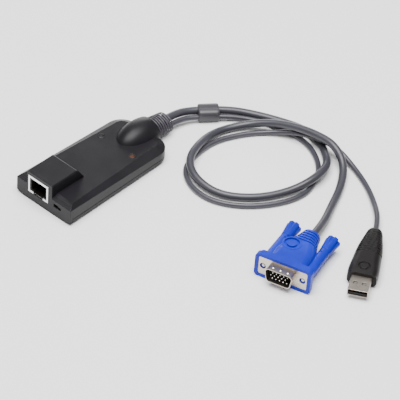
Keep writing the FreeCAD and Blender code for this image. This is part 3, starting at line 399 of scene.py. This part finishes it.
# --------------------------------------------------- small repeated pieces
class Pattern(NodeMaker):
    """A Geometry Nodes tree with named sizes, kept as a plain mesh once it has run."""

    def __init__(self, name, counts, sizes):
        tree = bpy.data.node_groups.new(name, "GeometryNodeTree")
        super().__init__(tree)
        tree.interface.new_socket("Geometry", in_out="OUTPUT", socket_type="NodeSocketGeometry")
        self.values = {**counts, **sizes}
        self.sockets = {}
        for key in self.values:
            kind = "NodeSocketInt" if key in counts else "NodeSocketFloat"
            socket = tree.interface.new_socket(key, in_out="INPUT", socket_type=kind)
            self.sockets[key] = socket.identifier
        self.inlet = tree.nodes.new("NodeGroupInput")

    def size(self, key):
        return Field(self, self.inlet.outputs[key])

    def vector(self, x=0.0, y=0.0, z=0.0):
        return self.node("ShaderNodeCombineXYZ", None, {0: x, 1: y, 2: z})

    def row(self, count, start, step):
        return self.node("GeometryNodeMeshLine", {"mode": "OFFSET"},
                         {"Count": count, "Start Location": start, "Offset": step})

    def on_points(self, points, shape, scale=(1.0, 1.0, 1.0)):
        return self.node("GeometryNodeInstanceOnPoints", None,
                         {"Points": points, "Instance": shape, "Scale": scale})

    def circle(self, radius, resolution):
        return self.node("GeometryNodeCurvePrimitiveCircle", None,
                         {"Resolution": resolution, "Radius": radius})

    def swept(self, path, section, caps=False):
        return self.node("GeometryNodeCurveToMesh", None,
                         {"Curve": path, "Profile Curve": section, "Fill Caps": caps})

    def cylinder(self, radius, length, sides):
        return self.node("GeometryNodeMeshCylinder", None,
                         {"Vertices": sides, "Radius": radius, "Depth": length})

    def cone(self, foot, top, length, sides):
        return self.node("GeometryNodeMeshCone", None,
                         {"Vertices": sides, "Radius Top": top, "Radius Bottom": foot,
                          "Depth": length})

    def bar(self, x, y, z):
        return self.node("GeometryNodeMeshCube", None, {"Size": self.vector(x, y, z)})

    def joined(self, *shapes):
        return self.node("GeometryNodeJoinGeometry", None, {0: list(shapes)})

    def moved(self, shape, place=(0.0, 0.0, 0.0), turn=(0.0, 0.0, 0.0), scale=(1.0, 1.0, 1.0)):
        return self.node("GeometryNodeTransform", None,
                         {"Geometry": shape, "Translation": place, "Rotation": turn,
                          "Scale": scale})

    def piece(self, shape, finish, frame_of_piece, node=None, crease=30.0):
        """Run the tree and link its result, which stands for a node where one is named."""
        real = self.node("GeometryNodeRealizeInstances", None, {0: shape})
        painted = self.node("GeometryNodeSetMaterial", None,
                            {"Geometry": real, "Material": FINISHES[finish]})
        self.node("NodeGroupOutput", None, {0: painted})
        holder = bpy.data.objects.new("pattern", bpy.data.meshes.new("pattern"))
        bpy.context.scene.collection.objects.link(holder)
        run = holder.modifiers.new("pattern", "NODES")
        run.node_group = self.tree
        for key, value in self.values.items():
            run[self.sockets[key]] = value
        ready = holder.evaluated_get(bpy.context.evaluated_depsgraph_get())
        mesh = bpy.data.meshes.new_from_object(ready)
        bpy.data.objects.remove(holder)
        mesh.transform(frame_of_piece)
        shade(mesh, crease)
        body = body_of(node) if node else "adapter"
        piece = link((node or self.tree.name) + "_set", mesh, body)
        if node:
            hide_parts(node)
        return piece


ALONG = (0.0, math.pi / 2, 0.0)       # turns a shape made along Z so that it runs along X


def pin_field():
    """Fifteen round pins with chamfered tips, in three staggered rows."""
    tree = Pattern("pin_field", {"Columns": 5}, {"Pitch": 2.29 * MM, "Row Pitch": 1.98 * MM,
                   "Radius": 0.36 * MM, "Reach": 4.9 * MM, "Tail": 7.0 * MM, "Tip": 0.35 * MM})
    pitch, radius, reach, tip = (tree.size(key) for key in ("Pitch", "Radius", "Reach", "Tip"))
    length = reach + tree.size("Tail") - tip
    shank = tree.cylinder(radius, length, 20)
    nose = tree.cone(radius * 0.45, radius, tip, 20)
    pin = tree.joined(tree.moved(shank, tree.vector(tip - reach + length / 2.0), ALONG),
                      tree.moved(nose, tree.vector(0.0 - reach), ALONG))
    rows = []
    for row in (-1, 0, 1):
        shift = -0.25 if row else 0.25
        start = tree.vector(0.0, pitch * (shift - 2.0), tree.size("Row Pitch") * float(row))
        rows.append(tree.row(tree.size("Columns"), start, tree.vector(0.0, pitch)))
    return tree.piece(tree.on_points(tree.joined(*rows), pin), "pin_plating",
                      mount_frame("video_plug"), "video_pins")


def contact_row():
    """The jack's eight spring wires, bent down into the socket."""
    low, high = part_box("jack_contacts")
    tree = Pattern("contact_row", {"Count": 8}, {"Pitch": 1.02 * MM, "Wire": 0.2 * MM,
                   "Run": high[0] - low[0] - 0.5 * MM, "Drop": high[2] - low[2] - 0.5 * MM})
    run, drop, wire = tree.size("Run"), tree.size("Drop"), tree.size("Wire")
    bend = tree.node("GeometryNodeCurveQuadraticBezier", None,
                     {"Resolution": 8, "Start": tree.vector(), "Middle": tree.vector(run * 0.12),
                      "End": tree.vector(run, 0.0, 0.0 - drop)})
    spring = tree.swept(bend, tree.circle(wire, 8), caps=True)
    points = tree.row(tree.size("Count"), tree.vector(0.0, tree.size("Pitch") * -3.5),
                      tree.vector(0.0, tree.size("Pitch")))
    start = (low[0] + 0.25 * MM, (low[1] + high[1]) / 2, high[2] - 0.22 * MM)
    tree.piece(tree.on_points(points, spring), "contact_gold", Matrix.Translation(start),
               "jack_contacts", 60.0)


RELIEF_RINGS = 8
RELIEF_LENGTH = 14.1 * MM
RELIEF_ROOT = 7.7 * MM      # height of its axis where it leaves the case
RELIEF_FALL = 1.3 * MM      # how far the axis comes down by its end


def ribbed_relief():
    """The strain relief: a tapered oval core, with rings and staggered webs between them."""
    low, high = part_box("strain_relief")
    tree = Pattern("ribbed_relief", {"Rings": RELIEF_RINGS, "Even Webs": 4, "Odd Webs": 3},
                   {"Half Width": (high[1] - low[1]) / 2, "Half Height": (high[2] - low[2]) / 2,
                    "Length": RELIEF_LENGTH, "Fall": RELIEF_FALL, "Taper": 0.90, "Low Taper": 0.83,
                    "Band": 0.46 * MM, "Groove Depth": 2.6 * MM, "Web": 2.2 * MM})
    wide, tall, length, fall, taper, low_taper, band, depth, web = (
        tree.size(key) for key in ("Half Width", "Half Height", "Length", "Fall", "Taper",
                                   "Low Taper", "Band", "Groove Depth", "Web"))
    gaps = RELIEF_RINGS - 1.0
    pitch = (length - band * 2.0) / gaps
    drop = fall / gaps
    oval = tree.moved(tree.circle(1.0, 56), turn=ALONG,
                      scale=tree.vector(tall - band, wide - band, 1.0))
    ring = tree.swept(oval, tree.circle(band, 12))
    share = tree.node("GeometryNodeInputIndex") / gaps
    places = tree.row(tree.size("Rings"), tree.vector(band), tree.vector(pitch, 0.0, 0.0 - drop))
    rings = tree.on_points(places, ring, tree.vector(1.0, 1.0 - share * (1.0 - taper),
                                                     1.0 - share * (1.0 - low_taper)))
    core = tree.moved(tree.cone(1.0, taper, length - band * 0.4, 56), turn=ALONG,
                      scale=tree.vector(tall - depth, wide - depth, 1.0))
    core = tree.moved(core, turn=(0.0, math.atan2(RELIEF_FALL, RELIEF_LENGTH), 0.0))
    bars = [tree.moved(tree.bar(pitch * 0.9, web, tall * 1.62), turn=(turn, 0.0, 0.0))
            for turn in (0.0, math.pi / 2)]
    webs = tree.joined(*bars)
    turned = tree.moved(webs, turn=(math.pi / 4, 0.0, 0.0))
    two_on = tree.vector(pitch * 2.0, 0.0, 0.0 - drop * 2.0)
    even = tree.row(tree.size("Even Webs"),
                    tree.vector(band + pitch * 0.5, 0.0, 0.0 - drop * 0.5), two_on)
    odd = tree.row(tree.size("Odd Webs"),
                   tree.vector(band + pitch * 1.5, 0.0, 0.0 - drop * 1.5), two_on)
    shape = tree.joined(rings, core, tree.on_points(even, webs), tree.on_points(odd, turned))
    root = (high[0] - RELIEF_LENGTH, 0.0, RELIEF_ROOT)
    return tree.piece(shape, "relief_grey", Matrix.Translation(root), "strain_relief", 50.0)


SCREW_SPACING = 24.99 * MM


def threaded_screw(node, side):
    """A thumbscrew's steel shaft, with a thread and a chamfered tip."""
    tree = Pattern(node + "_thread", {}, {
        "Radius": 1.28 * MM, "Thread": 0.17 * MM, "Lead": 0.62 * MM, "Turns": 11.0,
        "Tip": 0.45 * MM, "Length": 38.4 * MM})
    radius, thread, lead, turns, tip, length = (
        tree.size(key) for key in ("Radius", "Thread", "Lead", "Turns", "Tip", "Length"))
    shaft = tree.moved(tree.cylinder(radius, length - tip, 24),
                       tree.vector(tip * 2.0 + (length - tip) / 2.0), ALONG)
    nose = tree.moved(tree.cone(radius * 0.6, radius, tip, 24), tree.vector(tip), ALONG)
    spiral = tree.node("GeometryNodeCurveSpiral", None,
                       {"Resolution": 20, "Rotations": turns, "Start Radius": radius,
                        "End Radius": radius, "Height": lead * turns})
    ridge = tree.moved(tree.swept(spiral, tree.circle(thread, 6), caps=True),
                       tree.vector(tip * 2.2), ALONG)
    place = mount_frame("video_plug") @ Matrix.Translation((0.0, side * SCREW_SPACING / 2, 0.0))
    return tree.piece(tree.joined(shaft, nose, ridge), "screw_steel", place, node, 40.0)


def window_springs():
    """The two pale springs just under the windows of the USB plug's shell."""
    tree = Pattern("window_springs", {"Count": 2},
                   {"Side": 1.7 * MM, "Sheet": 0.2 * MM, "Span": 5.0 * MM})
    side, sheet, span = (tree.size(key) for key in ("Side", "Sheet", "Span"))
    leaf = tree.node("GeometryNodeMeshCube", None,
                     {"Size": tree.vector(side, side, sheet), "Vertices X": 8, "Vertices Y": 2})
    leaf = tree.moved(leaf, turn=(0.0, 0.05, 0.0))
    points = tree.row(tree.size("Count"), tree.vector(0.0, span / -2.0), tree.vector(0.0, span))
    place = mount_frame("usb_plug") @ Matrix.Translation((6.4 * MM, 0.0, 1.78 * MM))
    tree.piece(tree.on_points(points, leaf), "plated_nickel", place, crease=40.0)


def lens_rims():
    """A thin dark ring round each of the two lenses in the deck."""
    low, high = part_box("online_lens")
    tree = Pattern("lens_rims", {"Count": 2},
                   {"Radius": 1.75 * MM, "Bead": 0.28 * MM, "Span": -25.4 * MM})
    rim = tree.swept(tree.circle(tree.size("Radius"), 32), tree.circle(tree.size("Bead"), 8))
    points = tree.row(tree.size("Count"), tree.vector(), tree.vector(0.0, tree.size("Span")))
    middle = ((low[0] + high[0]) / 2, (low[1] + high[1]) / 2, high[2] + 0.12 * MM)
    tree.piece(tree.on_points(points, rim), "switch_black", Matrix.Translation(middle),
               crease=60.0)


SCREW_HEAD = 2.2 * MM
FRONT_SCREWS = (-15.6 * MM, 16.2 * MM)      # sideways places of the case's screws
REAR_SCREWS = (-15.0 * MM, 15.0 * MM)


def case_screw_set():
    """Four countersunk screws with cross recesses, under the case."""
    low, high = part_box("case_screws")
    tree = Pattern("case_screw_set", {"Sides": 2}, {
        "Head": SCREW_HEAD, "Shank": 1.1 * MM, "Rise": 1.3 * MM, "Length": 8.0 * MM,
        "Slot": 0.5 * MM, "Reach": 2.6 * MM})
    head, shank, rise, length, slot, reach = (
        tree.size(key) for key in ("Head", "Shank", "Rise", "Length", "Slot", "Reach"))
    recessed = tree.node("GeometryNodeMeshBoolean", {"operation": "DIFFERENCE", "solver": "EXACT"},
                         {"Mesh 1": tree.cone(head, shank, rise, 32),
                          "Mesh 2": [tree.bar(reach, slot, rise), tree.bar(slot, reach, rise)]})
    rod = tree.moved(tree.cylinder(shank * 0.98, length - rise, 20),
                     tree.vector(0.0, 0.0, rise + (length - rise) / 2.0))
    rows = [tree.row(tree.size("Sides"), (x, first, 0.0), (0.0, last - first, 0.0))
            for x, (first, last) in ((low[0] + SCREW_HEAD, FRONT_SCREWS),
                                     (high[0] - SCREW_HEAD, REAR_SCREWS))]
    tree.piece(tree.on_points(tree.joined(*rows), tree.joined(recessed, rod)),
               "screw_steel", Matrix.Translation((0.0, 0.0, low[2])), "case_screws")


COLLAR_AROUND = 48          # points round the collar
COLLAR_LENGTH = 12.8 * MM
COLLAR_TURN = math.radians(-40.6)
COLLAR_LOBES = ((2.0 * MM, 3.5 * MM), (-2.5 * MM, 3.0 * MM))     # middle, half width
COLLAR_GROOVE = 0.8 * MM    # half width of the groove between the lobes
# how far in from an end, in mm, and how much of the full section is reached there
COLLAR_ENDS = ((0.0, 0.80), (0.12, 0.88), (0.45, 0.955), (1.0, 0.99), (2.2, 1.0))


def cord_collar():
    """The clip round both cords: two lobes side by side, with rounded ends."""
    low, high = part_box("cable_collar")
    half_tall = high[2] / 2
    outline = []
    for step in range(COLLAR_AROUND):
        angle = 2 * math.pi * step / COLLAR_AROUND
        across, up = math.cos(angle), math.sin(angle)
        middle, half = COLLAR_LOBES[0] if across >= 0 else COLLAR_LOBES[1]
        bulge = math.copysign(abs(across) ** 0.8, across)
        y = middle * abs(across) ** 0.35 + half * bulge * 0.98
        height = half_tall * (0.97 - 0.11 * math.exp(-(y / COLLAR_GROOVE) ** 2))
        outline.append((y, height * math.copysign(abs(up) ** 0.62, up)))
    spots = [(-COLLAR_LENGTH / 2 + inset * MM, share) for inset, share in COLLAR_ENDS]
    spots += [(-x, share) for x, share in reversed(spots)]
    work = bmesh.new()
    loops = [[work.verts.new((x, y * share, half_tall + z * share)) for y, z in outline]
             for x, share in spots]
    for near, far in zip(loops, loops[1:]):
        for step in range(COLLAR_AROUND):
            after = (step + 1) % COLLAR_AROUND
            work.faces.new((near[step], near[after], far[after], far[step]))
    work.faces.new(loops[0])
    work.faces.new(loops[-1])
    bmesh.ops.recalc_face_normals(work, faces=work.faces)
    mesh = bpy.data.meshes.new("cord_collar")
    work.to_mesh(mesh)
    work.free()
    middle = ((low[0] + high[0]) / 2, (low[1] + high[1]) / 2, 0.0)
    mesh.transform(Matrix.Translation(middle) @ Matrix.Rotation(COLLAR_TURN, 4, "Z"))
    shade(mesh, 50.0)
    mesh.materials.append(FINISHES["collar_grey"])
    piece = link("cord_collar", mesh)
    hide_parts("cable_collar")
    return piece


# ---------------------------------------------------------------------- cords
# the points that each cord passes, in mm, from the case to its plug
VIDEO_ROUTE = [
    (55.75, 0.8, 7.6), (66.0, 0.8, 6.9), (77.3, -2.2, 4.8), (94.9, -17.1, 4.2), (104.5, -29.5, 2.5),
    (111.0, -44.5, 2.5), (116.0, -60.5, 2.5), (113.5, -75.0, 2.5), (106.5, -85.5, 3.4),
    (96.5, -95.0, 6.6), (81.0, -97.5, 6.6), (65.5, -92.0, 2.9), (47.5, -82.0, 2.5),
    (34.0, -65.0, 2.5), (33.0, -47.0, 4.5), (40.5, -34.0, 6.3), (55.0, -28.0, 6.3),
    (74.0, -24.0, 2.5), (91.0, -31.0, 2.8), (101.5, -44.5, 7.0), (107.0, -61.0, 10.2),
    (109.5, -78.0, 11.4), (109.0, -90.0, 11.2), (105.5, -100.5, 5.2), (91.0, -110.5, 2.5),
    (73.0, -118.2, 2.6), (57.0, -126.0, 4.8), (41.05, -130.35, 6.69)]
USB_ROUTE = [
    (55.75, -3.0, 5.2), (65.0, -3.4, 5.0), (74.5, -6.8, 3.8), (91.0, -20.7, 3.3),
    (100.0, -30.5, 1.7), (105.5, -42.5, 1.7), (108.5, -57.0, 1.7), (107.5, -70.5, 1.7),
    (102.0, -82.0, 1.7),
    (94.5, -90.5, 1.7), (84.0, -96.5, 1.7), (70.0, -99.3, 1.7), (54.0, -94.0, 1.7),
    (37.5, -81.5, 1.7), (27.5, -65.0, 1.7), (28.0, -48.0, 1.7), (37.0, -34.0, 1.7),
    (50.5, -30.0, 1.7), (69.0, -29.0, 1.7), (87.0, -37.0, 1.7), (99.5, -47.0, 1.9),
    (106.5, -60.0, 5.6), (111.0, -74.0, 7.0), (113.0, -88.0, 6.6), (111.5, -102.0, 2.2),
    (104.5, -119.0, 1.7), (94.5, -133.5, 3.0), (83.0, -146.1, 5.0), (72.49, -152.45, 5.1)]


def lay_cord(name, route, diameter, node):
    """A cord along its route, as one smooth curve; diameter in mm, the curve in metres."""
    curve = bpy.data.curves.new(name, "CURVE")
    curve.dimensions = "3D"
    curve.resolution_u = 10
    curve.bevel_depth = diameter / 2 * MM
    curve.bevel_resolution = 8
    curve.use_fill_caps = True
    line = curve.splines.new("NURBS")
    line.points.add(len(route) - 1)
    for point, (x, y, z) in zip(line.points, route):
        point.co = (x * MM, y * MM, z * MM, 1.0)
    line.order_u = 3
    line.use_endpoint_u = True
    line.use_smooth = True
    curve.materials.append(FINISHES["cord_slate"])
    piece = link(name, curve)
    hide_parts(node)


# ------------------------------------------------------- the pieces put together
# each solid whose edges are rounded, and by how many mm
ROUNDED = [("lower_case", 0.25), ("upper_cover", 0.3), ("front_panel", 0.25), ("jack_shield", 0.12),
           ("switch_knob", 0.08), ("jack_insulator", 0.05), ("video_face_plate", 0.1),
           ("video_hood", 0.2), ("left_thumb_knob", 0.2), ("right_thumb_knob", 0.2),
           ("usb_shell", 0.06), ("usb_boot", 0.15)]
forms = {node: softened(node, width) for node, width in ROUNDED}
pins = pin_field()
contact_row()
case_screw_set()
lens_rims()
window_springs()
forms["strain_relief"] = ribbed_relief()
forms["cable_collar"] = cord_collar()
screws = [threaded_screw("left_thumb_screw", -1), threaded_screw("right_thumb_screw", 1)]

lay_cord("video_cord", VIDEO_ROUTE, diameter=4.8, node="video_cable")
lay_cord("usb_cord", USB_ROUTE, diameter=3.3, node="usb_cable")


# -------------------------------------------------------------- floor and light
def studio_floor():
    """A plain pale sweep under the object."""
    mesh = bpy.data.meshes.new("floor")
    reach = 4.0
    corners = [(-reach, -reach, 0), (reach, -reach, 0), (reach, reach, 0), (-reach, reach, 0)]
    mesh.from_pydata(corners, [], [(0, 1, 2, 3)])
    floor = bpy.data.objects.new("floor", mesh)
    bpy.context.scene.collection.objects.link(floor)
    finish = Finish("floor_white")
    tone = finish.mix(finish.noise(3.0), grey(0.90), grey(0.92))
    mesh.materials.append(finish.surface(Base_Color=tone, Roughness=0.7))


MIDDLE = Vector((0.03, -0.06, 0.0))     # what the lights look at


def soft_light(name, place, size, power):
    """A square white studio light that looks at the object."""
    lamp = bpy.data.lights.new(name, "AREA")
    lamp.shape = "SQUARE"
    lamp.size = size
    lamp.energy = power
    holder = bpy.data.objects.new(name, lamp)
    bpy.context.scene.collection.objects.link(holder)
    holder.location = place
    holder.rotation_euler = (MIDDLE - Vector(place)).to_track_quat("-Z", "Y").to_euler()


studio_floor()
world = bpy.data.worlds.new("studio")
bpy.context.scene.world = world
world.use_nodes = True
sky = world.node_tree.nodes["Background"]
sky.inputs["Color"].default_value = (1, 1, 1, 1)
sky.inputs["Strength"].default_value = 0.42
soft_light("top_light", (-0.10, -0.10, 1.30), size=1.05, power=46.0)
soft_light("rim_light", (1.10, 0.95, 0.32), size=0.6, power=6.0)

# --------------------------------------------------------------------- camera
AZIMUTH = math.radians(40.47)
ELEVATION = math.radians(41.15)
ROLL = math.radians(3.67)
CAMERA_PLACE = Vector((-0.9738, -0.91063, 1.14745))
ahead = Vector((math.cos(ELEVATION) * math.cos(AZIMUTH), math.cos(ELEVATION) * math.sin(AZIMUTH),
                -math.sin(ELEVATION)))
right = Vector((math.sin(AZIMUTH), -math.cos(AZIMUTH), 0.0))
rolled_right = math.cos(ROLL) * right + math.sin(ROLL) * right.cross(ahead)
view = Matrix((rolled_right, rolled_right.cross(ahead), -ahead)).transposed().to_4x4()
view.translation = CAMERA_PLACE
lens = bpy.data.cameras.new("camera")
lens.lens = 267.75
lens.sensor_width = 36.0
lens.clip_start = 0.05
lens.clip_end = 20.0
camera = bpy.data.objects.new("camera", lens)
bpy.context.scene.collection.objects.link(camera)
camera.matrix_world = view
bpy.context.scene.camera = camera
